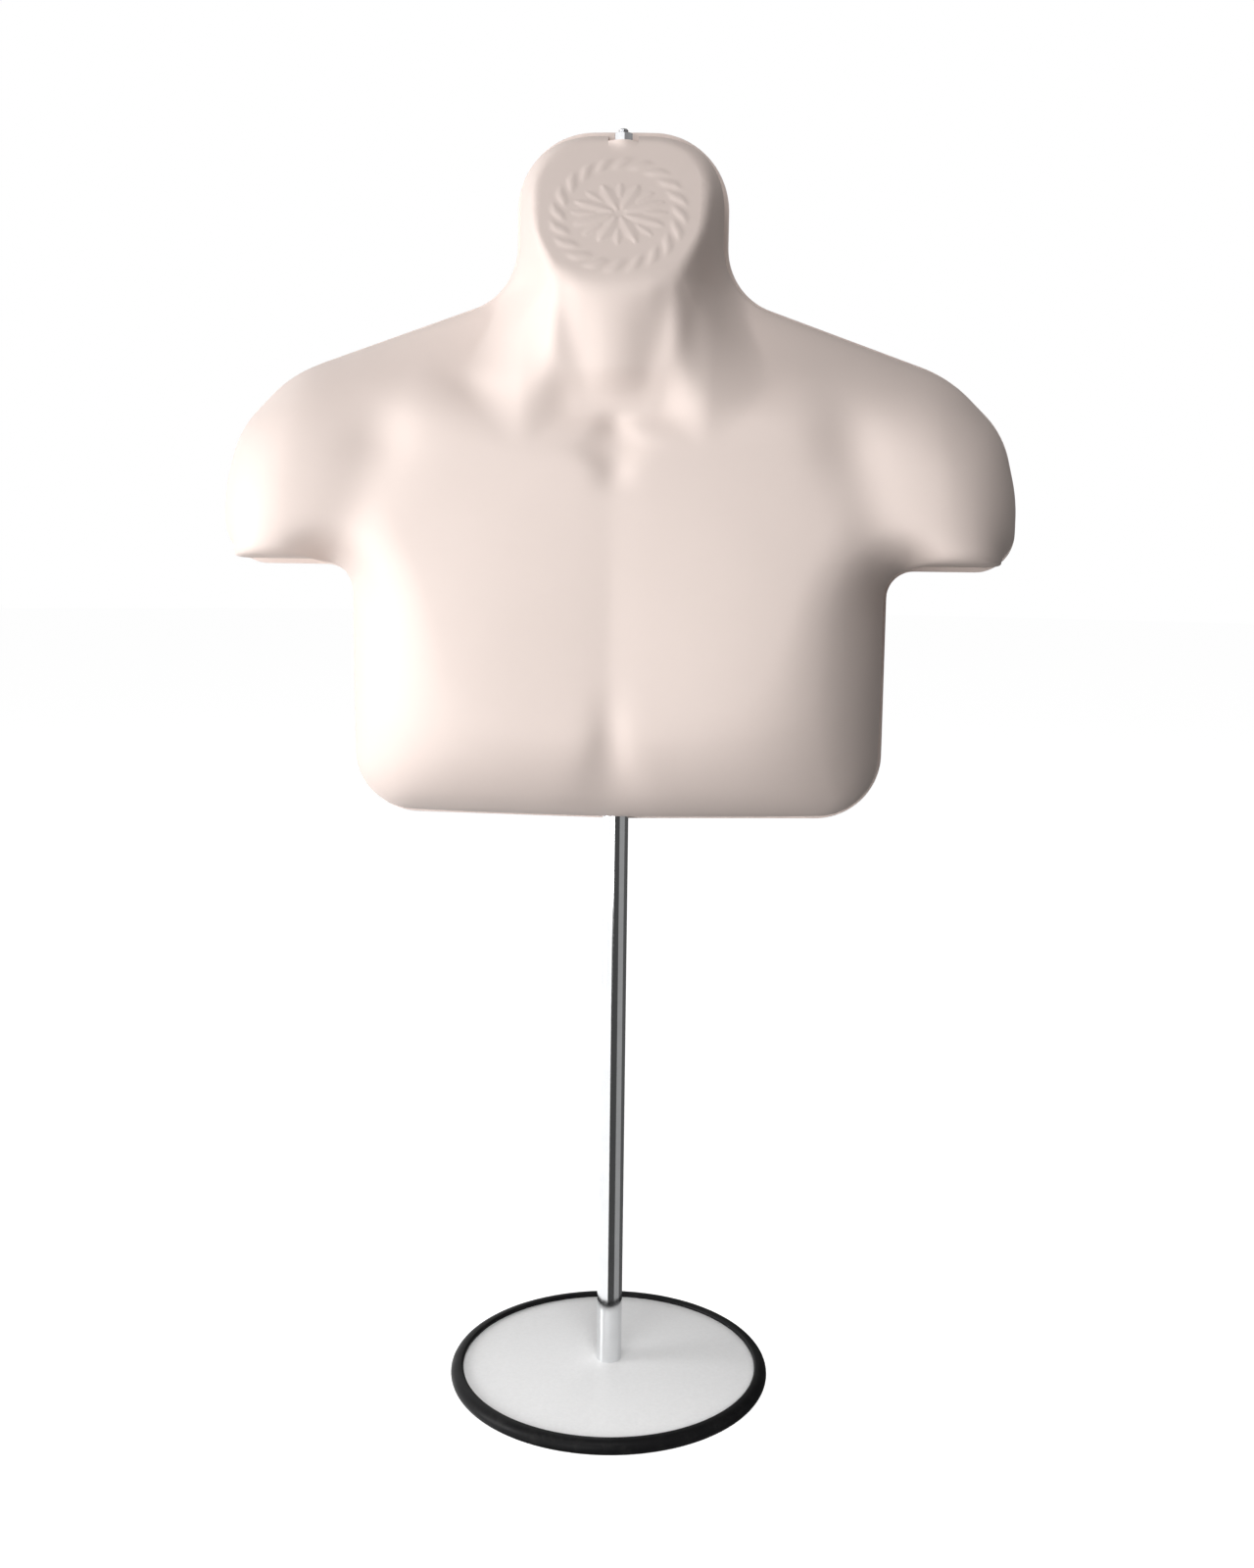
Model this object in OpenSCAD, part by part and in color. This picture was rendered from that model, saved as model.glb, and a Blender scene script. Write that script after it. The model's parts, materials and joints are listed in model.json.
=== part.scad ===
// Hollow-back upper-torso display form on a chromed pole with a round rubber-edged foot.
// Millimetres. +Z up, X across the shoulders, the chest faces -Y.
// Origin: the pole's axis at floor level.

/* [Stand] */
// outer diameter of the foot, over the rubber edge
foot_d = 203; // [180:1:260]
// rise of the steel disc from its edge to the pole
disc_dome = 4; // [2:0.5:6]
// sheet thickness of the steel disc
disc_t = 2.5; // [1.5:0.5:3]
// height of the rubber edge channel
edge_h = 9.5; // [8:0.5:12]
// outside diameter of both pole tubes
pole_d = 16; // [14:0.5:19]
// wall thickness of the pole tubes
pole_wall = 1.2; // [0.8:0.1:2]
// height of the join between the two tubes
pole_join_z = 370; // [240:5:420]

/* [Form] */
// half of the width over the arm stubs
arm_x = 237.7; // [228:0.1:245]
// half of the chest width below the arms
chest_x = 162.4; // [150:0.1:168]
// half of the neck width
neck_x = 62.3; // [56:0.1:66]
// height of the form's lower edge
form_z = 361.8; // [355:0.1:366]
// height of the neck's top edge
neck_top_z = 768.6; // [766:0.1:772]
// height of the arm stubs' flat ends
arm_z = 516; // [505:1:525]
// deepest reach of the chest from the rim's back face
chest_depth = 107; // [90:1:108]
// wall thickness of the moulding
form_wall = 2.5; // [2:0.1:3.5]
// width of the flat rim round the open back
rim_w = 3.2; // [2.5:0.1:4]
// thickness of the flat rim
rim_t = 2; // [1.5:0.1:3]

/* [Fasteners] */
// thread diameter of the studs and the foot bolt
thread_d = 6; // [5:1:8]
// width across flats of the hexagon nuts and bolt head
hex_af = 10; // [8:0.5:13]
// height of a hexagon nut
nut_h = 5; // [4:0.5:6]

/* [Hidden] */

FINE = 96;
back_y = 12;                        // plane of the rim's back face
edge_w = 8;                         // radial width of the rubber channel
edge_floor = 4;                     // rubber under the disc's edge
edge_grip = 4.5;                    // how far the disc runs into the rubber
disc_r = foot_d / 2 - edge_w + edge_grip;
disc_top_z = edge_floor + disc_t + disc_dome;
disc_under_z = disc_top_z - disc_t;
flat_r = 12;                        // flat centre of the disc under the pole
washer_t = 1.6;
spring_t = 1.6;
washer_r = 6;
head_h = 4;
thread_r = thread_d / 2;
hex_r = hex_af / 2 / cos(30);
bore_r = pole_d / 2 - pole_wall;
insert_h = 18;
seat_z = neck_top_z - 8;            // flat the neck nut turns on
seat_x = 8.6;                       // half width of that flat
boss_r = 8.5;                       // round boss under the flat
pocket_r = washer_r + 0.4;          // pocket under the neck for the washer and jam nut
support_z = seat_z - form_wall;     // underside of the neck wall
jam_z = support_z - washer_t - nut_h;
pole_top_z = jam_z - 2;
stud_top_z = neck_top_z - 0.6;
pole_hole_r = pole_d / 2 + 0.6;
stud_hole_r = thread_r + 0.35;
cut = 1;                            // overrun of cutting tools

// ---------- torso outline: right half, from the neck's top centre to the lower centre ----------
// each corner: x, z, radius, steps round the corner, steps along the edge after it
CORNERS = [
    [0, neck_top_z, 0, 0, 4],
    [neck_x, neck_top_z - 1, 45, 9, 2],
    [neck_x, arm_z + 161, 38, 6, 11],
    [arm_x - 43.1, arm_z + 114.4, 80, 4, 2],
    [arm_x - 9.5, arm_z + 81.8, 55, 4, 2],
    [arm_x, arm_z + 43.8, 100, 3, 1],
    [arm_x, arm_z, 23, 5, 5],
    [chest_x - 0.2, arm_z, 16, 4, 11],
    [chest_x + 0.2, form_z + 2.8, 40, 7, 14],
    [0, form_z, 0, 0, 0]];
LAST = len(CORNERS) - 1;

function unit(v) = v / norm(v);
function xz(c) = [c[0], c[1]];
// tangent length and arc of one rounded corner
function to_prev(i) = unit(xz(CORNERS[i - 1]) - xz(CORNERS[i]));
function to_next(i) = unit(xz(CORNERS[i + 1]) - xz(CORNERS[i]));
function half_angle(i) = acos(to_prev(i) * to_next(i)) / 2;
function corner_arc(i) = i == 0 || i == LAST ? [xz(CORNERS[i])] :
    let (c = CORNERS[i], u = to_prev(i), v = to_next(i), h = half_angle(i),
        mid = xz(c) + unit(u + v) * c[2] / sin(h),
        a = xz(c) + u * c[2] / tan(h) - mid, b = xz(c) + v * c[2] / tan(h) - mid,
        a0 = atan2(a[1], a[0]), turn = ((atan2(b[1], b[0]) - a0 + 540) % 360) - 180)
    [for (k = [0:c[3]]) let (t = a0 + turn * k / c[3]) mid + c[2] * [cos(t), sin(t)]];
function half_outline() = let (arcs = [for (i = [0:LAST]) corner_arc(i)])
    [for (i = [0:LAST]) let (arc = arcs[i], n = CORNERS[i][4])
        for (k = [0:len(arc) - 1 + max(0, n - 1)])
            k < len(arc) ? arc[k] :
                let (p = arc[len(arc) - 1], q = arcs[i + 1][0], s = (k - len(arc) + 1) / n)
                p + (q - p) * s];
function mirrored(h) = concat(h, [for (i = [len(h) - 2:-1:1]) [-h[i][0], h[i][1]]]);
// unit normals into a closed clockwise outline
function inward(p) = let (n = len(p)) [for (i = [0:n - 1])
    let (t = unit(p[(i + 1) % n] - p[(i + n - 1) % n])) [t[1], -t[0]]];

// ---------- smooth distance from a wall line ----------
function ease(a, b, t) = let (s = min(1, max(0, (t - a) / (b - a)))) s * s * (3 - 2 * s);
// the arm stubs' ends count little, which keeps their lower faces flat and steep
ARM_END_SHARE = 0.006;
function wall_share(x, z) = z > arm_z + 7 ? 1 : 1 - (1 - ARM_END_SHARE)
    * ease(chest_x - 2, chest_x + 6, abs(x)) * ease(arm_x - 4, arm_x - 16, abs(x));
// each segment: start x, start z, direction x, direction z, length, share
function segments(b) = [for (i = [0:len(b) - 1]) let (p = b[i], q = b[(i + 1) % len(b)],
    t = unit(q - p), m = (p + q) / 2) [p[0], p[1], t[0], t[1], norm(q - p), wall_share(m[0], m[1])]];
function pull(x, z, s) = let (dx = s[0] - x, dz = s[1] - z, s1 = dx * s[2] + dz * s[3],
    s2 = s1 + s[4], h2 = pow(dx * s[3] - dz * s[2], 2) + 0.0001)
    s[5] * (s2 / sqrt(h2 + s2 * s2) - s1 / sqrt(h2 + s1 * s1)) / h2;
function sum(v) = v * [for (i = v) 1];
function wall_gap(x, z, segs) = sqrt(2 / sum([for (s = segs) pull(x, z, s)]));

// ---------- relief of the front, as depth from the rim's back face ----------
function soft_min(a, b, k) = let (h = max(k - abs(a - b), 0) / k) min(a, b) - h * h * k / 4;
function soft_max(a, b, k) = -soft_min(-a, -b, k);
function hill(x, z, cx, cz, rx, rz) = exp(-pow((x - cx) / rx, 2) - pow((z - cz) / rz, 2));
// a ridge or groove from p to q, its width and height running w0..w1 and a0..a1
function crease(x, z, p, q, w0, w1, a0, a1) = let (d = q - p,
    t = min(1, max(0, ((x - p[0]) * d[0] + (z - p[1]) * d[1]) / (d * d))),
    r = norm([x - p[0] - t * d[0], z - p[1] - t * d[1]]))
    (a0 + (a1 - a0) * t) * exp(-pow(r / (w0 + (w1 - w0) * t), 2));
function rounding(e, w, n) = let (t = min(1, max(0, e / w))) pow(1 - pow(1 - t, n), 1 / n);
function clavicle_z(x) = arm_z + 70 + 0.0022 * pow(min(x, 150), 2);
function chest_mass(x, z) = let (zc = clavicle_z(x), zl = soft_min(z, zc, 16), up = zl - 490)
    chest_depth - (zl > 490 ? 0.0015 : 0.0005) * up * up - 0.0003 * x * x - 0.72 * (z - zl)
    + 3.5 * hill(x, z, 78, 470, 58, 75)
    - 2 * hill(x, zc + 15.8 - z, 79.5, 0, 19.4, 10)
    + 7 * hill(x, z, 200, 575, 42, 60)
    - 14 * hill(x, z, 160, 368, 52, 46)
    + crease(x, z, [122, 622], [130, 585], 12, 18, -1, -2.6)
    + crease(x, z, [130, 585], [152, 520], 18, 14, -2.6, -2.2)
    - 0.5 * exp(-pow(x / 13, 2)) * ease(585, 560, z)
    - 4 * exp(-pow(x / (9 + 14 * ease(430, 365, z)), 2)) * ease(465, 400, z);
function torso_depth(x, z, e) = chest_mass(x, z) * rounding(e, 64 - 14 * ease(130, 185, x), 2.05)
    * (1 - ease(655, 705, z) * ease(120, 70, x));
// two cords run down beside a low ridge on the throat
function neck_cords(x, z) = crease(x, z, [30, 690], [38.5, 616], 2.3, 9.5, 2.4, 3.4)
    - crease(x, z, [28, 680], [17.5, 612], 15, 6, 6, 1.2)
    + crease(x, z, [0, 672], [0, 612], 9.4, 11.8, -0.6, 2.6);
function neck_depth(x, z, e) = let (b = 100 - 16 * ease(672, 596, z),
    t = (x - 17) / (56 + 24 * ease(665, 600, z)),
    side = 1 - pow(min(1, max(0, t)), 2) * ease(705, 670, z),
    power = 1.57 - 0.41 * ease(700, 750, z))
    b * side * rounding(e, 32, power) - 43 * ease(627, 558, z)
    + ease(688, 645, z) * ease(584, 634, z) * neck_cords(x, z);
function notch_depth(x, z) = let (w = 19 * min(1, max(0.45, min((z - 556) / 33, (604 - z) / 25))))
    4.8 * exp(-pow(x / w, 2)) * ease(554, 578, z) * ease(606, 593, z);
// the slanted neck face, and the round boss under the neck nut
function neck_face(x, z) = 18 + (seat_z - 3.6 - z) * 0.911;
function seat_boss(x, z) = z > seat_z - 12 ? back_y - rim_t + sqrt(max(0, boss_r * boss_r - x * x)) : 0;
function front_depth(x, z, e) = let (f = soft_max(torso_depth(x, z, e), neck_depth(x, z, e),
        20 + 38 * ease(24, 54, x)) - notch_depth(x, z),
    g = z > 630 ? soft_min(f, neck_face(x, z), 8) : f)
    max(0, x < boss_r ? soft_max(g, seat_boss(x, z), 3) : g);

// ---------- the moulding as rings of points from the rim to the form's centre lines ----------
HALF = 94;                          // edges in half an outline
AXIS_TOP = 26;                      // neck rows, joined to the centre line
ARM_IN = 42;                        // shoulder rows, joined to the arm's line
ARM_OUT = 53;                       // rows round the arm's outer end
AXIS_LOW = 69;                      // armpit rows end here, the rest join the centre line
ARM_ROWS = ARM_IN - AXIS_TOP;
JOIN_Z = arm_z + 44;                // where the arm's line meets the centre line
function spine_point(h) =
    h <= AXIS_TOP ? [0, lookup(h, [[1, 738], [13, 722], [15, 708], [21, 655], [26, JOIN_Z]])] :
    h <= ARM_IN ? [(h - AXIS_TOP) * (arm_x - 45) / ARM_ROWS, JOIN_Z + (h - AXIS_TOP) * 0.5] :
    h <= ARM_OUT ? spine_point(ARM_IN) :
    h <= AXIS_LOW ? spine_point(AXIS_LOW + AXIS_TOP - h) :
    [0, lookup(h, [[69, JOIN_Z], [73, 500], [80, 440], [93, 425]])];
RING_STEPS = [0, 0.25, 0.8, 1.8, 3.3, 5.5];
INNER_STEPS = [0, 0.5, 1.5, 3.3, 5.5];
SPINE_SHARES = [0.05, 0.12, 0.21, 0.32, 0.45, 0.6, 0.78, 1];
INNER_SHARES = [0.08, 0.2, 0.34, 0.52, 0.75, 1];
function ring_rows(b, n, steps, shares) = let (last = steps[len(steps) - 1]) concat(
    [for (d = steps) [for (h = [0:HALF]) b[h] + n[h] * d]],
    [for (s = shares) [for (h = [0:HALF]) let (p = b[h] + n[h] * last) p + (spine_point(h) - p) * s]]);
function side(i) = i <= HALF ? 1 : -1;
function half_of(i) = i <= HALF ? i : 2 * HALF - i;
function spine_id(i) = let (h = half_of(i), s = i <= HALF ? 0 : HALF + 1)
    h <= 1 ? 0 : h >= HALF - 1 ? HALF : h <= AXIS_TOP ? h : h <= ARM_IN ? h + s : h <= ARM_OUT ? ARM_IN + s :
    h < AXIS_LOW ? AXIS_LOW + AXIS_TOP - h + s : h == AXIS_LOW ? AXIS_TOP : h;
// full rings of 3-D points from half rows of [x, z] and depths
function full_ring(row, depth) = [for (i = [0:2 * HALF - 1]) let (h = half_of(i))
    [side(i) * row[h][0], back_y - depth[h], row[h][1]]];
// the last ring holds each shared centre-line point once, in the order of spine_id
function spine_ring(row, depth) = [for (id = [0:2 * HALF - 1])
    let (right = id <= HALF, h = right ? id : id - HALF - 1)
    [(right ? 1 : -1) * row[h][0], back_y - depth[h], row[h][1]]];
function skin_depths(rows, segs, less) = [for (r = [1:len(rows) - 1])
    [for (p = rows[r]) max(0, front_depth(abs(p[0]), p[1], wall_gap(p[0], p[1], segs)) - less)]];
function skin_rings(rows, depths) = let (last = len(rows) - 1) [for (r = [1:last])
    r < last ? full_ring(rows[r], depths[r - 1]) : spine_ring(rows[r], depths[r - 1])];
// index of point i of ring r in a skin whose last ring is shared along the centre lines
function skin_index(i, r, last, start) =
    let (j = i % (2 * HALF)) start + r * 2 * HALF + (r == last ? spine_id(j) : j);
// two triangles a square, cut along the diagonal that follows the form on each half
function quad_faces(a, b, c, d, right) =
    c == d ? [[a, b, d]] : right ? [[a, b, c], [a, c, d]] : [[a, b, d], [b, c, d]];
function turned(f) = [f[0], f[2], f[1]];
function skin_faces(last, start, flip) = [for (r = [0:last - 1]) for (i = [0:2 * HALF - 1])
    let (quad = quad_faces(skin_index(i, r, last, start), skin_index(i + 1, r, last, start),
        skin_index(i + 1, r + 1, last, start), skin_index(i, r + 1, last, start), i < HALF))
    each [for (f = quad) flip ? turned(f) : f]];

// the line dips to a level seat under the neck nut
function with_seat(line, level) = [for (p = line)
    p[1] > neck_top_z - 7 && abs(p[0]) < seat_x + 0.1 ? [p[0], level] : p];

module form_skin() {
    outline = mirrored(half_outline());
    normals = inward(outline);
    wall_line = [for (i = [0:2 * HALF - 1]) outline[i] + normals[i] * rim_w];
    inner_line = [for (i = [0:2 * HALF - 1]) wall_line[i] + normals[i] * form_wall];
    outer_segs = segments(wall_line);
    inner_segs = segments(inner_line);
    outer_foot = with_seat(wall_line, seat_z);
    inner_foot = with_seat(inner_line, support_z);
    outer_rows = ring_rows(outer_foot, normals, RING_STEPS, SPINE_SHARES);
    inner_rows = ring_rows(inner_foot, normals, INNER_STEPS, INNER_SHARES);
    flat = [for (h = [0:HALF]) 0];
    rim = [for (h = [0:HALF]) rim_t];
    outer_depths = [for (row = skin_depths(outer_rows, outer_segs, 0)) [for (f = row) rim_t + f]];
    inner_depths = skin_depths(inner_rows, inner_segs, form_wall - rim_t);
    outer_rings = concat([full_ring(outline, flat), full_ring(outline, rim),
        full_ring(outer_rows[0], rim)], skin_rings(outer_rows, outer_depths));
    inner_rings = concat([full_ring(inner_rows[0], flat)], skin_rings(inner_rows, inner_depths));
    n = 2 * HALF;
    start = len(outer_rings) * n;
    back = [for (i = [0:n - 1]) let (j = (i + 1) % n)
        each [[i, start + i, j], [j, start + i, start + j]]];
    polyhedron(concat([for (r = outer_rings) each r], [for (r = inner_rings) each r]),
        concat(back, skin_faces(len(outer_rings) - 1, 0, false),
            skin_faces(len(inner_rings) - 1, start, true)), convexity = 8);
}

module form_shell() {
    color("#ecdcd2") difference() {
        form_skin();
        translate([0, 0, form_z + 1]) cylinder(h = 12, r = pole_hole_r, $fn = FINE);
        translate([0, 0, seat_z - 8]) cylinder(h = 8 + cut, r = stud_hole_r, $fn = FINE);
        translate([0, 0, support_z - 12]) cylinder(h = 12, r = pocket_r, $fn = FINE);
        translate([0, 0, seat_z]) cylinder(h = 12, r = boss_r - 0.9, $fn = FINE);
    }
}

// ---------- stand ----------
DOME_STEPS = 8;
function dome_drop(r) = disc_dome * pow(max(0, r - flat_r) / (disc_r - flat_r), 2);

function disc_profile() = concat(
    [[thread_r + 0.3, disc_under_z], [thread_r + 0.3, disc_top_z]],
    [for (k = [0:DOME_STEPS]) let (r = flat_r + (disc_r - flat_r) * k / DOME_STEPS)
        [r, disc_top_z - dome_drop(r)]],
    [for (k = [DOME_STEPS:-1:0]) let (r = flat_r + (disc_r - flat_r) * k / DOME_STEPS)
        [r, disc_under_z - dome_drop(r)]]);

module base_plate() {
    color("#dcdcdc") rotate_extrude($fn = FINE) polygon(disc_profile());
}

module base_rubber_ring() {
    outer_r = foot_d / 2;
    round_r = edge_h / 2;
    color("#262626") difference() {
        rotate_extrude($fn = FINE) {
            translate([outer_r - round_r, round_r]) circle(r = round_r, $fn = 32);
            translate([outer_r - edge_w, 0]) square([edge_w - round_r, edge_h]);
        }
        rotate_extrude($fn = FINE) polygon(disc_profile());
    }
}

module washer(r, hole_r, h) {
    difference() {
        cylinder(h = h, r = r, $fn = FINE);
        translate([0, 0, -cut]) cylinder(h = h + 2 * cut, r = hole_r, $fn = FINE);
    }
}

module hex_nut(h, hole_r) {
    difference() {
        cylinder(h = h, r = hex_r, $fn = 6);
        translate([0, 0, -cut]) cylinder(h = h + 2 * cut, r = hole_r, $fn = FINE);
    }
}

module base_flat_washer() {
    color("#b8bac0") translate([0, 0, disc_under_z - washer_t]) washer(washer_r, thread_r + 0.2, washer_t);
}

module base_spring_washer() {
    gap_w = 1.2;
    color("#9a9ca2") translate([0, 0, disc_under_z - washer_t - spring_t]) difference() {
        washer(washer_r - 0.9, thread_r + 0.1, spring_t);
        translate([0, -gap_w / 2, -cut]) cube([washer_r, gap_w, spring_t + 2 * cut]);
    }
}

module base_bolt() {
    head_z = disc_under_z - washer_t - spring_t - head_h;
    color("#b8bac0") translate([0, 0, head_z]) {
        cylinder(h = head_h, r = hex_r, $fn = 6);
        translate([0, 0, head_h]) cylinder(h = disc_top_z + insert_h - 4 - head_z - head_h,
            r = thread_r, $fn = FINE);
    }
}

module tube(z0, z1) {
    translate([0, 0, z0]) washer(pole_d / 2, bore_r, z1 - z0);
}

// a plug pressed into a tube's end, drilled for a stud
module insert(z0, hole_r) {
    translate([0, 0, z0]) washer(bore_r, hole_r, insert_h);
}

module lower_pole() {
    color("#c9cbd0") tube(disc_top_z, pole_join_z);
}

module lower_pole_foot_insert() {
    color("#9a9ca2") insert(disc_top_z, thread_r);
}

module lower_pole_top_insert() {
    color("#9a9ca2") insert(pole_join_z - insert_h, thread_r);
}

module pole_joint_stud() {
    reach = insert_h - 3;
    color("#b8bac0") translate([0, 0, pole_join_z - reach])
        cylinder(h = 2 * reach, r = thread_r, $fn = FINE);
}

module upper_pole_bottom_insert() {
    color("#9a9ca2") insert(pole_join_z, thread_r);
}

module upper_pole() {
    color("#c9cbd0") tube(pole_join_z, pole_top_z);
}

module upper_pole_top_insert() {
    cap_h = jam_z - pole_top_z;
    color("#9a9ca2") {
        insert(pole_top_z - insert_h, thread_r);
        translate([0, 0, pole_top_z]) washer(pole_d / 2, thread_r, cap_h);
    }
}

module neck_stud() {
    chamfer = 0.6;
    length = stud_top_z - pole_top_z + insert_h - 3;
    color("#b8bac0") translate([0, 0, stud_top_z - length]) {
        cylinder(h = length - chamfer, r = thread_r, $fn = FINE);
        translate([0, 0, length - chamfer])
            cylinder(h = chamfer, r1 = thread_r, r2 = thread_r - chamfer, $fn = FINE);
    }
}

module neck_jam_nut() {
    color("#b8bac0") translate([0, 0, jam_z]) hex_nut(nut_h, thread_r);
}

module neck_support_washer() {
    color("#b8bac0") translate([0, 0, jam_z + nut_h]) washer(washer_r, thread_r + 0.2, washer_t);
}

module neck_nut() {
    turn = 12;
    color("#c9cbd0") translate([0, 0, seat_z]) rotate(turn) hex_nut(nut_h, thread_r);
}

form_shell();
base_plate();
base_rubber_ring();
base_bolt();
base_spring_washer();
base_flat_washer();
lower_pole();
lower_pole_foot_insert();
lower_pole_top_insert();
pole_joint_stud();
upper_pole();
upper_pole_bottom_insert();
upper_pole_top_insert();
neck_stud();
neck_jam_nut();
neck_support_washer();
neck_nut();
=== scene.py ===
"""Hollow-back torso display form on a chromed pole with a round rubber-edged foot."""

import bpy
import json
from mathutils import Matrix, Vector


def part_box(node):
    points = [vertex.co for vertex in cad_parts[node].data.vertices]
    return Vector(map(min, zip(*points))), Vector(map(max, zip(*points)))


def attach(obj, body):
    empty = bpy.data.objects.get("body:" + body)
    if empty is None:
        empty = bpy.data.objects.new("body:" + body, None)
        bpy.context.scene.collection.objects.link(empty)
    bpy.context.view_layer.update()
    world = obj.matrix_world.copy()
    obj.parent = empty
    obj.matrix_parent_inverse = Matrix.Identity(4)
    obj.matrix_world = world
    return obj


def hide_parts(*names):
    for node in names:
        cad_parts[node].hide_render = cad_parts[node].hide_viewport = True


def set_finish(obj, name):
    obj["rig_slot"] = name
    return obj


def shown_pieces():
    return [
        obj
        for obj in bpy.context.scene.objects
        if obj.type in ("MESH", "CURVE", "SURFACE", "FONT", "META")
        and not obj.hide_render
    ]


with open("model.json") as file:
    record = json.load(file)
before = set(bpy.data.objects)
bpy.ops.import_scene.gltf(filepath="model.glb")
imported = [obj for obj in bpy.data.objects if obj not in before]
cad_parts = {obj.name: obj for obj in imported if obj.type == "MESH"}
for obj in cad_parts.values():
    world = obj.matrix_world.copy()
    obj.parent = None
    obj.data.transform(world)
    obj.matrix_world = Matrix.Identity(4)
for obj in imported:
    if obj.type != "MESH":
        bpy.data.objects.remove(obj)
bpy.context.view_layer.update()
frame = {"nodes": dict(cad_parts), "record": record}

import json
import math
import bpy
import bmesh
import numpy as np
from mathutils import Matrix, Vector
from mathutils.geometry import delaunay_2d_cdt

MM = 0.001
SCENE = bpy.context.scene

# ---------------------------------------------------------------- camera
CAM_DISTANCE, CAM_HEIGHT, CAM_SIDE = 1.000, 0.5313, 0.0069
CAM_PITCH, CAM_YAW, CAM_ROLL = 0.1455, 0.0347, 0.0130
LENS_MM, SENSOR_MM = 37.854, 36.0


def make_camera():
    """Camera in front of the chest, a little to +X, pitched down and rolled."""
    right = Vector((math.cos(CAM_YAW), math.sin(CAM_YAW), 0))
    forward = Vector((-math.sin(CAM_YAW) * math.cos(CAM_PITCH),
                      math.cos(CAM_YAW) * math.cos(CAM_PITCH), -math.sin(CAM_PITCH)))
    up = right.cross(forward)
    cos_r, sin_r = math.cos(CAM_ROLL), math.sin(CAM_ROLL)
    x_axis = right * cos_r + up * sin_r
    y_axis = up * cos_r - right * sin_r
    place = Vector((math.sin(CAM_YAW) * CAM_DISTANCE, -math.cos(CAM_YAW) * CAM_DISTANCE,
                    CAM_HEIGHT)) + right * CAM_SIDE
    data = bpy.data.cameras.new("camera")
    data.lens, data.sensor_width = LENS_MM, SENSOR_MM
    data.clip_start, data.clip_end = 0.01, 60
    cam = bpy.data.objects.new("camera", data)
    SCENE.collection.objects.link(cam)
    turn = Matrix((x_axis, y_axis, -forward)).transposed().to_4x4()
    cam.matrix_world = Matrix.Translation(place) @ turn
    SCENE.camera = cam


make_camera()

# ---------------------------------------------------------------- torso relief, in millimetres
# form relief begin
BACK_Y = 12.0
RIM_W, RIM_T, WALL = 3.2, 2.0, 2.5
TOP_Z, LOW_Z, ARM_Z = 768.6, 361.8, 516.0
NECK_X, CHEST_X, ARM_X = 62.3, 162.4, 237.7
SEAT_Z, SEAT_X, BOSS_R = TOP_Z - 8.0, 8.6, 8.5
# right half of the outline: x, z and corner radius
CORNERS = [(0, TOP_Z, 0), (SEAT_X, TOP_Z, 0), (SEAT_X + 0.05, TOP_Z, 0),
           (SEAT_X + WALL, TOP_Z, 0), (SEAT_X + WALL + 0.5, TOP_Z, 0),
           (NECK_X, TOP_Z - 1, 45), (NECK_X, ARM_Z + 161, 38),
           (ARM_X - 43.1, ARM_Z + 114.4, 80), (ARM_X - 9.5, ARM_Z + 81.8, 55),
           (ARM_X, ARM_Z + 43.8, 100), (ARM_X, ARM_Z, 23), (CHEST_X - 0.2, ARM_Z, 16),
           (CHEST_X + 0.2, LOW_Z + 2.8, 40), (0, LOW_Z, 0)]


def half_outline(step):
    """Points down the right half of the outline, from the neck's top to the lower centre."""
    arcs = []
    for i, (x, z, r) in enumerate(CORNERS):
        corner = np.array((x, z), float)
        if r == 0:
            arcs.append([corner])
            continue
        u, v = (np.array(CORNERS[i + s][:2]) - corner for s in (-1, 1))
        u, v = u / np.linalg.norm(u), v / np.linalg.norm(v)
        half = math.acos(u @ v) / 2
        mid = corner + (u + v) / np.linalg.norm(u + v) * r / math.sin(half)
        a, b = (corner + w * r / math.tan(half) - mid for w in (u, v))
        start = math.atan2(a[1], a[0])
        turn = (math.atan2(b[1], b[0]) - start + math.pi) % (2 * math.pi) - math.pi
        n = max(6, math.ceil(abs(turn) * r / step))
        arcs.append([mid + r * np.array((math.cos(start + turn * k / n),
                                         math.sin(start + turn * k / n))) for k in range(n + 1)])
    points = list(arcs[0])
    for arc in arcs[1:]:
        gap = arc[0] - points[-1]
        n = max(1, round(float(np.linalg.norm(gap)) / step))
        points += [points[-1] + gap * k / n for k in range(1, n)] + arc
    return np.array(points)


def full_outline(step):
    half = half_outline(step)
    return np.vstack([half, half[-2:0:-1] * (-1, 1)])


def inward(line):
    along = np.roll(line, -1, 0) - np.roll(line, 1, 0)
    along /= np.linalg.norm(along, axis=1)[:, None]
    return np.stack([along[:, 1], -along[:, 0]], 1)


def ease(a, b, t):
    s = np.clip((t - a) / (b - a), 0, 1)
    return s * s * (3 - 2 * s)


def soft_min(a, b, k):
    h = np.clip(k - np.abs(a - b), 0, None) / k
    return np.minimum(a, b) - h * h * k / 4


def soft_max(a, b, k):
    return -soft_min(-a, -b, k)


def hill(x, z, cx, cz, rx, rz):
    return np.exp(-((x - cx) / rx) ** 2 - ((z - cz) / rz) ** 2)


def crease(x, z, p, q, w0, w1, a0, a1):
    """Ridge or groove from p to q, its width and height running w0..w1 and a0..a1."""
    dx, dz = q[0] - p[0], q[1] - p[1]
    t = np.clip(((x - p[0]) * dx + (z - p[1]) * dz) / (dx * dx + dz * dz), 0, 1)
    r = np.hypot(x - p[0] - t * dx, z - p[1] - t * dz)
    return (a0 + (a1 - a0) * t) * np.exp(-(r / (w0 + (w1 - w0) * t)) ** 2)


def rounding(e, w, n):
    return (1 - (1 - np.clip(e / w, 0, 1)) ** n) ** (1 / n)


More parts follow.
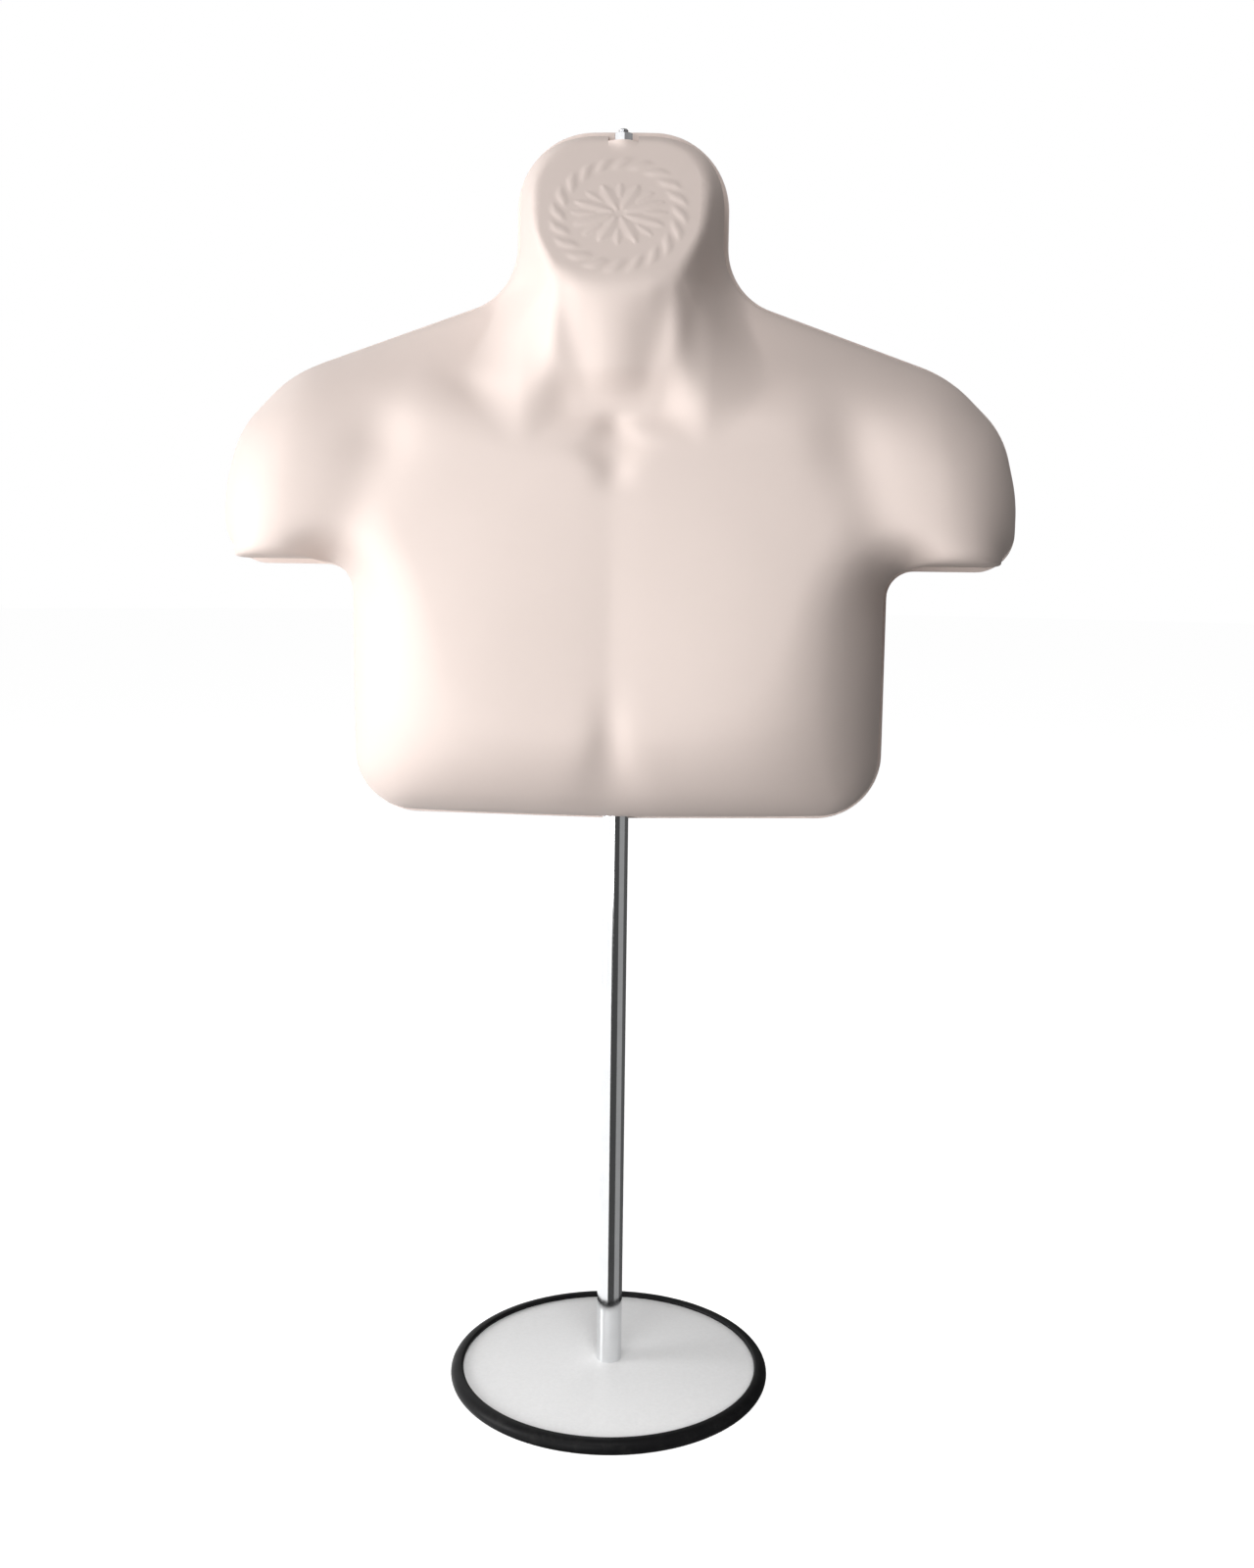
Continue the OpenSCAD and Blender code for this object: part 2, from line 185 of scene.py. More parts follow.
ARM_END_SHARE = 0.006


def wall_gap(x, z, line):
    """Smooth distance from a closed wall line; the arm stubs' flat ends count little."""
    pull = np.zeros_like(x)
    for a, b in zip(line, np.roll(line, -1, 0)):
        length = float(np.linalg.norm(b - a))
        if length < 1e-6:
            continue
        tx, tz = (b - a) / length
        mx, mz = abs((a[0] + b[0]) / 2), (a[1] + b[1]) / 2
        share = 1.0 if mz > ARM_Z + 7 else 1 - (1 - ARM_END_SHARE) * float(
            ease(CHEST_X - 2, CHEST_X + 6, mx) * ease(ARM_X - 4, ARM_X - 16, mx))
        dx, dz = a[0] - x, a[1] - z
        s1 = dx * tx + dz * tz
        s2 = s1 + length
        h2 = (dx * tz - dz * tx) ** 2 + 1e-4
        pull += share * (s2 / np.sqrt(h2 + s2 * s2) - s1 / np.sqrt(h2 + s1 * s1)) / h2
    return np.sqrt(2 / np.maximum(pull, 1e-12))


def chest_mass(x, z):
    clavicle = ARM_Z + 70 + 0.0022 * np.minimum(x, 150) ** 2
    low = soft_min(z, clavicle, 16)
    up = low - 490
    return (107 - np.where(low > 490, 0.0015, 0.0005) * up * up - 0.0003 * x * x - 0.72 * (z - low)
            + 3.5 * hill(x, z, 78, 470, 58, 75)
            - 2 * hill(x, clavicle + 15.8 - z, 79.5, 0, 19.4, 10)
            + 7 * hill(x, z, 200, 575, 42, 60)
            - 14 * hill(x, z, 160, 368, 52, 46)
            + crease(x, z, (122, 622), (130, 585), 12, 18, -1, -2.6)
            + crease(x, z, (130, 585), (152, 520), 18, 14, -2.6, -2.2)
            - 0.5 * np.exp(-(x / 13) ** 2) * ease(585, 560, z)
            - 4 * np.exp(-(x / (9 + 14 * ease(430, 365, z))) ** 2) * ease(465, 400, z))


def torso_depth(x, z, e):
    return (chest_mass(x, z) * rounding(e, 64 - 14 * ease(130, 185, x), 2.05)
            * (1 - ease(655, 705, z) * ease(120, 70, x)))


def neck_depth(x, z, e):
    """The neck flares into the shoulders; two cords run down beside the throat."""
    flare = 56 + 24 * ease(665, 600, z)
    side = 1 - np.clip((x - 17) / flare, 0, 1) ** 2 * ease(705, 670, z)
    cords = (crease(x, z, (30, 690), (38.5, 616), 2.3, 9.5, 2.4, 3.4)
             - crease(x, z, (28, 680), (17.5, 612), 15, 6, 6, 1.2)
             + crease(x, z, (0, 672), (0, 612), 9.4, 11.8, -0.6, 2.6))
    return ((100 - 16 * ease(672, 596, z)) * side * rounding(e, 32, 1.57 - 0.41 * ease(700, 750, z))
            - 43 * ease(627, 558, z) + ease(688, 645, z) * ease(584, 634, z) * cords)


def notch_depth(x, z):
    w = 19 * np.clip(np.minimum((z - 556) / 33, (604 - z) / 25), 0.45, 1)
    return 4.8 * np.exp(-(x / w) ** 2) * ease(554, 578, z) * ease(606, 593, z)


def neck_face(x, z):
    return 18 + (SEAT_Z - 3.6 - z) * 0.911


def seat_boss(x, z):
    """A round boss on the pole's axis that the neck nut turns on."""
    return np.where(z > SEAT_Z - 12, BACK_Y - RIM_T + np.sqrt(np.clip(BOSS_R ** 2 - x * x, 0, None)), 0)


def front_depth(x, z, e):
    """Depth of the front from the rim's front face, for points inside the wall line."""
    x = np.abs(x)
    f = soft_max(torso_depth(x, z, e), neck_depth(x, z, e), 20 + 38 * ease(24, 54, x)) - notch_depth(x, z)
    f = np.where(z > 630, soft_min(f, neck_face(x, z), 8), f)
    f = np.where(x < BOSS_R, soft_max(f, seat_boss(x, z), 3), f)
    return np.maximum(f, 0)


def with_seat(line, reach, level):
    """The wall line dips to a level seat under the neck nut."""
    flat = (line[:, 1] > TOP_Z - 7) & (np.abs(line[:, 0]) < reach + 0.02)
    line = line.copy()
    line[flat, 1] = level
    return line
# form relief end


# ---------------------------------------------------------------- relief on the slanted neck face
FACE_CENTRE_Z = 712.0
FACE_SLOPE = math.hypot(1, 0.911)


def petal(u, v, angle, start, length, width, height):
    """A pointed oval raised on the face, from the centre outwards."""
    along = u * math.cos(angle) + v * math.sin(angle) - start
    across = -u * math.sin(angle) + v * math.cos(angle)
    t = np.clip(along / length, 0, 1)
    half = width * np.sin(math.pi * t) ** 0.8
    inside = (along > 0) & (along < length)
    return np.where(inside, height * np.clip(1 - np.abs(across) / np.maximum(half, 0.05), 0, 1), 0)


def face_relief(x, z):
    """Generic ornament: a rosette of petals inside an oval band of slanted bars."""
    u = x / 38.0
    v = (z - FACE_CENTRE_Z) * FACE_SLOPE / 50.0
    out = np.zeros_like(x)
    for k in range(8):
        angle = math.pi * (k + 0.5) / 4
        out = np.maximum(out, petal(u * 38, v * 50, angle, 3, 24, 5.2, 0.9))
    for k in range(8):
        angle = math.pi * k / 4
        out = np.maximum(out, petal(u * 38, v * 50, angle, 13, 14, 3.0, 0.7))
    r = np.hypot(u, v)
    theta = np.arctan2(v, u)
    band = np.exp(-((r - 0.9) / 0.10) ** 4)
    bars = np.clip(0.5 + 0.7 * np.cos(theta * 20 + (r - 0.9) * 20), 0, 1)
    return np.maximum(out, 0.8 * band * bars)


# ---------------------------------------------------------------- mesh helpers
def mesh_object(name, verts_mm, faces, smooth_angle=40):
    mesh = bpy.data.meshes.new(name)
    mesh.from_pydata([tuple(v) for v in np.asarray(verts_mm) * MM], [], faces)
    mesh.validate()
    mesh.update()
    obj = bpy.data.objects.new(name, mesh)
    SCENE.collection.objects.link(obj)
    mesh.polygons.foreach_set("use_smooth", [True] * len(mesh.polygons))
    if smooth_angle:
        mesh.set_sharp_from_angle(angle=math.radians(smooth_angle))
    return obj


def lathe(name, profile, segments=128, smooth_angle=35):
    """A closed (r, z) profile in millimetres turned about Z, walked so that its face is outside."""
    verts, faces = [], []
    n = len(profile)
    for s in range(segments):
        a = 2 * math.pi * s / segments
        verts += [(r * math.cos(a), r * math.sin(a), z) for r, z in profile]
    for s in range(segments):
        t = (s + 1) % segments
        for k in range(n):
            m = (k + 1) % n
            faces.append((s * n + k, t * n + k, t * n + m, s * n + m))
    obj = mesh_object(name, verts, faces, None)
    tidy(obj, smooth_angle)
    return obj


def tidy(obj, smooth_angle):
    """Merges doubled points, turns every face outwards and marks sharp edges."""
    bm = bmesh.new()
    bm.from_mesh(obj.data)
    bmesh.ops.remove_doubles(bm, verts=bm.verts, dist=1e-7)
    bmesh.ops.dissolve_degenerate(bm, edges=bm.edges, dist=1e-8)
    bmesh.ops.recalc_face_normals(bm, faces=bm.faces)
    bm.to_mesh(obj.data)
    bm.free()
    obj.data.polygons.foreach_set("use_smooth", [True] * len(obj.data.polygons))
    obj.data.set_sharp_from_angle(angle=math.radians(smooth_angle))


def arc(cx, cz, r, start, end, n):
    return [(cx + r * math.cos(math.radians(start + (end - start) * k / n)),
             cz + r * math.sin(math.radians(start + (end - start) * k / n))) for k in range(n + 1)]


# ---------------------------------------------------------------- torso mesh
def inside_polygon(x, z, line):
    odd = np.zeros(x.shape, bool)
    for (ax, az), (bx, bz) in zip(line, np.roll(line, -1, 0)):
        if az == bz:
            continue
        hit = (az > z) != (bz > z)
        odd ^= hit & (x < (bx - ax) * (z - az) / (bz - az) + ax)
    return odd


def far_from(x, z, line, least):
    near = np.full(x.shape, 1e9)
    for a in line:
        near = np.minimum(near, (x - a[0]) ** 2 + (z - a[1]) ** 2)
    return near > least * least


def grid_points(step, x_lim, z_low, z_high):
    xs = np.arange(-x_lim, x_lim + step / 2, step)
    zs = np.arange(z_low, z_high, step)
    x, z = np.meshgrid(xs, zs)
    x = x + (np.arange(len(zs)) % 2)[:, None] * step / 2
    return x.ravel(), z.ravel()


WALL_STEPS = [0.02, 0.08, 0.2, 0.4, 0.7, 1.1, 1.7, 2.5, 3.6, 5.0, 6.8, 9.0]
FACE_BOX = (44.0, 664.0, 758.0)


def skin(line, normal, wall, step, lift, relief):
    """Rings inward from a line and a triangulated middle: points, quads and triangles.

    Points are x, depth from the back plane, z. The depth grows with the gap to the wall
    line, and lift is added to it."""
    rings = [np.column_stack([line[:, 0], np.zeros(len(line)), line[:, 1]])]
    rings[0][:, 1] = max(lift, 0) + (0.15 if lift > 0 else 0)
    for d in WALL_STEPS:
        p = line + normal * d
        depth = front_depth(p[:, 0], p[:, 1], wall_gap(p[:, 0], p[:, 1], wall)) + lift
        rings.append(np.column_stack([p[:, 0], np.maximum(depth, rings[0][:, 1]), p[:, 1]]))
    n = len(line)
    last = rings[-1][:, (0, 2)]
    gx, gz = grid_points(step, ARM_X, LOW_Z, TOP_Z)
    if relief:
        half, low, high = FACE_BOX
        coarse = (np.abs(gx) > half) | (gz < low) | (gz > high)
        fx, fz = grid_points(relief, half, low, high)
        gx, gz = np.concatenate([gx[coarse], fx]), np.concatenate([gz[coarse], fz])
    keep = inside_polygon(gx, gz, last)
    gx, gz = gx[keep], gz[keep]
    keep = far_from(gx, gz, last, 0.55 * step if not relief else 1.2)
    gx, gz = gx[keep], gz[keep]
    depth = front_depth(gx, gz, wall_gap(gx, gz, wall)) + lift
    if relief:
        depth = depth + face_relief(gx, gz) * ease(0, 4, 46 - np.abs(gx))
    flat = [Vector(p) for p in np.vstack([last, np.column_stack([gx, gz])])]
    out = delaunay_2d_cdt(flat, [], [list(range(n - 1, -1, -1))], 1, 1e-6)
    source = [ids[0] if ids else None for ids in out[3]]
    if None in source:
        print("DELAUNAY: new points", source.count(None))
    base = (len(rings) - 1) * n
    points = np.vstack(rings + [np.column_stack([gx, depth, gz])])
    faces = []
    for k in range(len(rings) - 1):
        for i in range(n):
            j = (i + 1) % n
            faces.append((k * n + i, (k + 1) * n + i, (k + 1) * n + j, k * n + j))
    for tri in out[2]:
        if any(source[t] is None for t in tri):
            continue
        a, b, c = (flat[source[t]] for t in tri)
        ids = [base + source[t] for t in tri]
        if (b - a).cross(c - a) < 0:
            ids.reverse()
        faces.append(tuple(ids))
    return points, faces


def make_form():
    outline = full_outline(2.5)
    normal = inward(outline)
    wall, inner_wall = outline + normal * RIM_W, outline + normal * (RIM_W + WALL)
    line = with_seat(wall, SEAT_X, SEAT_Z)
    inner_line = with_seat(inner_wall, SEAT_X + WALL, SEAT_Z - WALL)
    n = len(outline)
    # the rim, from the back inner edge round the outside to the foot of the wall
    edge = 0.35
    rim = []
    for inset, depth in ((edge, 0), (edge * 0.3, edge * 0.3), (0, edge), (0, RIM_T - edge),
                         (edge * 0.3, RIM_T - edge * 0.3), (edge, RIM_T)):
        p = outline + normal * inset
        rim.append(np.column_stack([p[:, 0], np.full(n, depth), p[:, 1]]))
    foot = line - normal * 0.4
    foot = np.where(np.linalg.norm(foot - outline, axis=1)[:, None] < 1, outline + normal * 1.2, foot)
    rim.append(np.column_stack([foot[:, 0], np.full(n, RIM_T), foot[:, 1]]))
    outer, outer_faces = skin(line, normal, wall, 2.6, RIM_T, 1.15)
    inner, inner_faces = skin(inner_line, normal, inner_wall, 5.0, RIM_T - WALL, None)
    verts = np.vstack(rim + [outer, inner])
    faces = []
    for k in range(len(rim)):
        for i in range(n):
            j = (i + 1) % n
            faces.append((k * n + i, (k + 1) * n + i, (k + 1) * n + j, k * n + j))
    start = len(rim) * n
    faces += [tuple(start + v for v in f) for f in outer_faces]
    start += len(outer)
    faces += [tuple(start + v for v in reversed(f)) for f in inner_faces]
    for i in range(n):
        j = (i + 1) % n
        faces.append((start + i, i, j, start + j))
    placed = np.column_stack([verts[:, 0], BACK_Y - verts[:, 1], verts[:, 2]])
    obj = mesh_object("torso_form", placed, faces, 42)
    return obj


form = make_form()
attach(form, "form")
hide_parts("form_shell")
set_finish(form, "form_plastic")



def cut_round_hole(obj, radius, low, high, segments=64):
    """Drills a vertical hole on the pole's axis, in millimetres."""
    bm = bmesh.new()
    bmesh.ops.create_cone(bm, cap_ends=True, segments=segments, radius1=radius * MM,
                          radius2=radius * MM, depth=(high - low) * MM,
                          matrix=Matrix.Translation((0, 0, (low + high) / 2 * MM)))
    mesh = bpy.data.meshes.new("drill")
    bm.to_mesh(mesh)
    bm.free()
    drill = bpy.data.objects.new("drill", mesh)
    SCENE.collection.objects.link(drill)
    mod = obj.modifiers.new("drill", "BOOLEAN")
    mod.object, mod.operation, mod.solver = drill, "DIFFERENCE", "EXACT"
    bpy.context.view_layer.update()
    made = bpy.data.meshes.new_from_object(obj.evaluated_get(bpy.context.evaluated_depsgraph_get()))
    obj.modifiers.clear()
    obj.data = made
    bpy.data.objects.remove(drill)


POLE_R, PIPE_WALL, STUD_R, POCKET_R = 8.0, 1.2, 3.0, 6.4
cut_round_hole(form, POCKET_R, SEAT_Z - WALL - 12, SEAT_Z - WALL)
cut_round_hole(form, POLE_R + 0.6, LOW_Z + 1, LOW_Z + 13)
cut_round_hole(form, STUD_R + 0.35, SEAT_Z - 8, SEAT_Z + 1, 32)


# ---------------------------------------------------------------- stand, lathed and threaded
def mm_box(node):
    low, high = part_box(node)
    return [v / MM for v in low], [v / MM for v in high]


def add(obj, node, body, slot):
    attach(obj, body)
    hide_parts(node)
    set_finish(obj, slot)
    return obj


def make_tube(name, low, high, chamfer=0.25):
    inner = POLE_R - PIPE_WALL
    return lathe(name, [(inner, low), (POLE_R - chamfer, low), (POLE_R, low + chamfer),
                        (POLE_R, high - chamfer), (POLE_R - chamfer, high), (inner, high)], 96)


DISC_T, DISC_RISE, DISC_FLAT_R, DISC_HOLE_R = 2.5, 4.0, 12.0, 3.3


def disc_top(r):
    """Height of the dished disc's upper face at a radius."""
    low, high = mm_box("base_plate")
    t = max(0.0, (r - DISC_FLAT_R) / (high[0] - DISC_FLAT_R))
    return high[2] - DISC_RISE * t * t


def make_ring():
    """Black channel rubber: rounded outside, a lip over the disc's edge and one under it."""
    low, high = mm_box("base_rubber_ring")
    out, top = high[0], high[2]
    r, lip = top / 2, 1.4
    inner, groove = out - 8.0, out - 3.5
    mouth = inner + 0.6
    profile = ([(inner + lip, 0.0), (out - r, 0.0)] + arc(out - r, r, r, -90, 90, 16)[1:]
               + arc(inner + lip, top - lip, lip, 90, 180, 5)
               + [(inner + 0.25, disc_top(mouth) + 0.3), (mouth, disc_top(mouth)),
                  (groove, disc_top(groove)), (groove, disc_top(groove) - DISC_T),
                  (mouth, disc_top(mouth) - DISC_T), (inner + 0.25, disc_top(mouth) - DISC_T - 0.3)]
               + arc(inner + lip, lip, lip, 180, 270, 5)[:-1])
    return lathe("rubber_edge", profile, 192, 30)


def make_disc():
    """The dished steel disc, raised at the pole."""
    rim_r = mm_box("base_plate")[1][0]
    steps = 28
    radii = [DISC_HOLE_R] + [DISC_FLAT_R + (rim_r - DISC_FLAT_R) * k / steps for k in range(steps + 1)]
    profile = [(r, disc_top(r)) for r in radii] + [(r, disc_top(r) - DISC_T) for r in reversed(radii)]
    return lathe("foot_disc", profile, 192, 30)


def thread_mesh(name, low, high, radius, pitch=1.0, depth=0.55, chamfer=0.9, segments=48):
    """A stud with a real helical thread and chamfered ends."""
    rows = max(8, int((high - low) / pitch * 10))
    verts, faces = [], []
    for k in range(rows + 1):
        z = low + (high - low) * k / rows
        for s in range(segments):
            t = s / segments
            phase = ((z / pitch) - t) % 1.0
            cut_in = depth * (1 - abs(2 * phase - 1)) * (0.0 if k in (0, rows) else 1.0)
            end = min(z - low, high - z)
            r = min(radius - cut_in, radius - chamfer + end)
            a = 2 * math.pi * t
            verts.append((r * math.cos(a), r * math.sin(a), z))
    for k in range(rows):
        for s in range(segments):
            t = (s + 1) % segments
            faces.append((k * segments + s, k * segments + t,
                          (k + 1) * segments + t, (k + 1) * segments + s))
    for ring, flip in ((0, True), (rows, False)):
        loop = [ring * segments + s for s in range(segments)]
        faces.append(tuple(reversed(loop)) if flip else tuple(loop))
    obj = mesh_object(name, verts, faces, None)
    tidy(obj, 50)
    return obj


def hex_nut(name, low, high, across, bore, turn):
    """A hexagon nut: 30 degree chamfers at both ends, countersunk bore."""
    corner = across / 2 / math.cos(math.pi / 6)
    face_r, drop = across / 2 * 0.97, 0.55
    segments = 72
    levels = [(low, 0), (low, 1), (high, 1), (high, 0)]
    verts, faces, rings = [], [], []

    def ring(radius_of, height_of):
        start = len(verts)
        for s in range(segments):
            a = 2 * math.pi * s / segments
            r = radius_of(a)
            verts.append((r * math.cos(a + turn), r * math.sin(a + turn), height_of(r)))
        rings.append(start)

    def hexagon(a):
        return across / 2 / math.cos((a + math.pi / 6) % (math.pi / 3) - math.pi / 6)

    def chamfer(r):
        return max(0.0, (r - face_r)) * math.tan(math.radians(30))

    sink = 0.45
    ring(lambda a: bore, lambda r: low + sink)
    ring(lambda a: bore + sink, lambda r: low)
    ring(lambda a: face_r, lambda r: low)
    ring(hexagon, lambda r: low + chamfer(r))
    ring(hexagon, lambda r: high - chamfer(r))
    ring(lambda a: face_r, lambda r: high)
    ring(lambda a: bore + sink, lambda r: high)
    ring(lambda a: bore, lambda r: high - sink)
    for k in range(len(rings)):
        a0, b0 = rings[k], rings[(k + 1) % len(rings)]
        for s in range(segments):
            t = (s + 1) % segments
            faces.append((a0 + s, a0 + t, b0 + t, b0 + s))
    obj = mesh_object(name, verts, faces, None)
    tidy(obj, 25)
    return obj


low, high = mm_box("lower_pole")
add(make_tube("lower_tube", low[2], high[2]), "lower_pole", "stand", "pole_chrome")
low, high = mm_box("upper_pole")
add(make_tube("upper_tube", low[2], high[2]), "upper_pole", "stand", "pole_chrome")
add(make_ring(), "base_rubber_ring", "stand", "edge_rubber")
add(make_disc(), "base_plate", "stand", "disc_paint")
low, high = mm_box("neck_stud")
add(thread_mesh("neck_screw", low[2], high[2], STUD_R), "neck_stud", "stand", "nut_zinc")
low, high = mm_box("neck_nut")
add(hex_nut("neck_hex_nut", low[2], high[2], 10.0, STUD_R - 0.3, math.radians(8)),
    "neck_nut", "stand", "nut_zinc")
low, high = mm_box("neck_jam_nut")
add(hex_nut("neck_lower_nut", low[2], high[2], 10.0, STUD_R - 0.3, 0.0),
    "neck_jam_nut", "stand", "nut_zinc")


# ---------------------------------------------------------------- materials
def new_material(name, color, roughness, metallic=0.0):
    """A Principled material, its node tree and a shared object-space coordinate node."""
    mat = bpy.data.materials.new(name)
    mat.use_nodes = True
    tree = mat.node_tree
    shader = tree.nodes["Principled BSDF"]
    shader.inputs["Base Color"].default_value = (*color, 1)
    shader.inputs["Roughness"].default_value = roughness
    shader.inputs["Metallic"].default_value = metallic
    place = tree.nodes.new("ShaderNodeTexCoord")
    return mat, tree, shader, place


def noise(tree, place, scale, detail=3.0, rough=0.5, stretch=None):
    node = tree.nodes.new("ShaderNodeTexNoise")
    node.inputs["Scale"].default_value = scale
    node.inputs["Detail"].default_value = detail
    node.inputs["Roughness"].default_value = rough
    source = place.outputs["Object"]
    if stretch:
        squeeze = tree.nodes.new("ShaderNodeMapping")
        squeeze.inputs["Scale"].default_value = stretch
        tree.links.new(source, squeeze.inputs["Vector"])
        source = squeeze.outputs["Vector"]
    tree.links.new(source, node.inputs["Vector"])
    return node.outputs["Fac"]


def remap(tree, value, low, high, to_low, to_high):
    node = tree.nodes.new("ShaderNodeMapRange")
    for name, number in (("From Min", low), ("From Max", high), ("To Min", to_low), ("To Max", to_high)):
        node.inputs[name].default_value = number
    tree.links.new(value, node.inputs["Value"])
    return node.outputs["Result"]


def tint(tree, shader, value, color_a, color_b):
    mix = tree.nodes.new("ShaderNodeMix")
    mix.data_type = "RGBA"
    tree.links.new(value, mix.inputs[0])
    mix.inputs[6].default_value = (*color_a, 1)
    mix.inputs[7].default_value = (*color_b, 1)
    tree.links.new(mix.outputs[2], shader.inputs["Base Color"])
    return mix


def bump(tree, shader, value, distance, strength=1.0, below=None):
    node = tree.nodes.new("ShaderNodeBump")
    node.inputs["Strength"].default_value = strength
    node.inputs["Distance"].default_value = distance
    tree.links.new(value, node.inputs["Height"])
    if below:
        tree.links.new(below.outputs["Normal"], node.inputs["Normal"])
    tree.links.new(node.outputs["Normal"], shader.inputs["Normal"])
    return node


def shade(color, factor):
    return tuple(c * factor for c in color)


PLASTIC = (0.80, 0.685, 0.632)


def form_plastic():
    mat, tree, shader, place = new_material("form_plastic", PLASTIC, 0.58)
    mottle = noise(tree, place, 14, 4, 0.55)
    tint(tree, shader, remap(tree, mottle, 0.3, 0.7, 0, 1), shade(PLASTIC, 0.975), PLASTIC)
    sheen_map = noise(tree, place, 55, 4, 0.6)
    tree.links.new(remap(tree, sheen_map, 0.3, 0.7, 0.52, 0.64), shader.inputs["Roughness"])
    peel = bump(tree, shader, noise(tree, place, 900, 2, 0.5), 0.00004, 0.35)
    bump(tree, shader, noise(tree, place, 45, 2, 0.5), 0.0004, 0.12, peel)
    shader.inputs["Specular IOR Level"].default_value = 0.3
    return mat


def chrome():
    base = (0.80, 0.81, 0.82)
    mat, tree, shader, place = new_material("pole_chrome", base, 0.09, 1.0)
    draw = noise(tree, place, 260, 3, 0.6, (1, 1, 0.012))
    haze = noise(tree, place, 30, 4, 0.65)
    tint(tree, shader, remap(tree, haze, 0.35, 0.75, 0, 1), base, shade(base, 0.9))
    tree.links.new(remap(tree, haze, 0.3, 0.8, 0.06, 0.15), shader.inputs["Roughness"])
    bump(tree, shader, draw, 0.00003, 0.25)
    return mat


def disc_paint():
    base = (0.88, 0.88, 0.88)
    mat, tree, shader, place = new_material("disc_paint", base, 0.42)
    speck = noise(tree, place, 420, 3, 0.7)
    tint(tree, shader, remap(tree, speck, 0.3, 0.72, 0, 1), shade(base, 0.955), shade(base, 1.02))
    scuff = noise(tree, place, 22, 5, 0.7, (1, 3, 1))
    tree.links.new(remap(tree, scuff, 0.35, 0.75, 0.34, 0.5), shader.inputs["Roughness"])
    peel = bump(tree, shader, noise(tree, place, 700, 2, 0.5), 0.00005, 0.4)
    bump(tree, shader, scuff, 0.0002, 0.08, peel)
    return mat


def edge_rubber():
    base = (0.006, 0.006, 0.0065)
    mat, tree, shader, place = new_material("edge_rubber", base, 0.4)
    shader.inputs["Specular IOR Level"].default_value = 0.08
    dust = noise(tree, place, 90, 5, 0.7)
    tint(tree, shader, remap(tree, dust, 0.5, 0.8, 0, 1), base, (0.016, 0.0157, 0.0153))
    tree.links.new(remap(tree, dust, 0.3, 0.8, 0.3, 0.55), shader.inputs["Roughness"])
    grain = bump(tree, shader, noise(tree, place, 1300, 2, 0.5), 0.00006, 0.5)
    bump(tree, shader, noise(tree, place, 60, 3, 0.6), 0.0005, 0.2, grain)
    return mat


def steel(name, base, rough_low, rough_high, scale, stretch, wear=0.85):
    mat, tree, shader, place = new_material(name, base, rough_low, 1.0)
    streak = noise(tree, place, scale, 4, 0.6, stretch)
    tint(tree, shader, remap(tree, streak, 0.3, 0.75, 0, 1), base, shade(base, wear))
    tree.links.new(remap(tree, streak, 0.25, 0.8, rough_low, rough_high), shader.inputs["Roughness"])
    bump(tree, shader, streak, 0.00005, 0.4)
    return mat


MATERIALS = {
    "form_plastic": form_plastic(),
    "pole_chrome": chrome(),
    "disc_paint": disc_paint(),
    "edge_rubber": edge_rubber(),
    "insert_steel": steel("insert_steel", (0.42, 0.42, 0.43), 0.3, 0.5, 300, (0.1, 0.1, 1), 0.8),
    "nut_zinc": steel("nut_zinc", (0.74, 0.75, 0.77), 0.16, 0.34, 180, (1, 1, 0.4), 0.82),
}
SLOT_OF = {part["node"]: part["material_slot"] for part in frame["record"]["subparts"]}


def paint(obj, slot_name):
    obj.data.materials.clear()
    obj.data.materials.append(MATERIALS[slot_name])


for node_name, node_obj in frame["nodes"].items():
    paint(node_obj, SLOT_OF[node_name])
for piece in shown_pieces():
    if piece.name not in frame["nodes"]:
        paint(piece, piece["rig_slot"] if "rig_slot" in piece else "form_plastic")


# ---------------------------------------------------------------- studio
def area_light(name, place, target, width, height, power, color=(1, 1, 1)):
    data = bpy.data.lights.new(name, "AREA")
    data.shape, data.size, data.size_y = "RECTANGLE", width, height
    data.energy, data.color = power, color
    lamp = bpy.data.objects.new(name, data)
    SCENE.collection.objects.link(lamp)
    lamp.location = place
    lamp.rotation_euler = (Vector(target) - Vector(place)).to_track_quat("-Z", "Y").to_euler()
    return lamp


def stage_material(name, glow, color, diffuse):
    mat = bpy.data.materials.new(name)
    mat.use_nodes = True
    shader = mat.node_tree.nodes["Principled BSDF"]
    shader.inputs["Base Color"].default_value = (*[c * diffuse for c in color], 1)
    shader.inputs["Roughness"].default_value = 0.9
    shader.inputs["Specular IOR Level"].default_value = 0.0
    shader.inputs["Emission Color"].default_value = (*color, 1)
    shader.inputs["Emission Strength"].default_value = glow
    return mat


def make_floor():
    mesh = bpy.data.meshes.new("floor")
    bm = bmesh.new()
    bmesh.ops.create_circle(bm, cap_ends=True, radius=12, segments=96)
    bm.to_mesh(mesh)
    bm.free()
    floor = bpy.data.objects.new("floor", mesh)
    SCENE.collection.objects.link(floor)
    mesh.materials.append(stage_material("floor_white", 0.88, (1, 1, 1), 0.6))
    floor.visible_diffuse = floor.visible_glossy = False
    return floor


# what polished metal mirrors: azimuth from the front in degrees (left is minus), brightness
ROOM = [(-178, 0.8), (-170, 1.3), (-15, 0.07), (43, 0.34), (96, 0.10), (150, 0.12)]


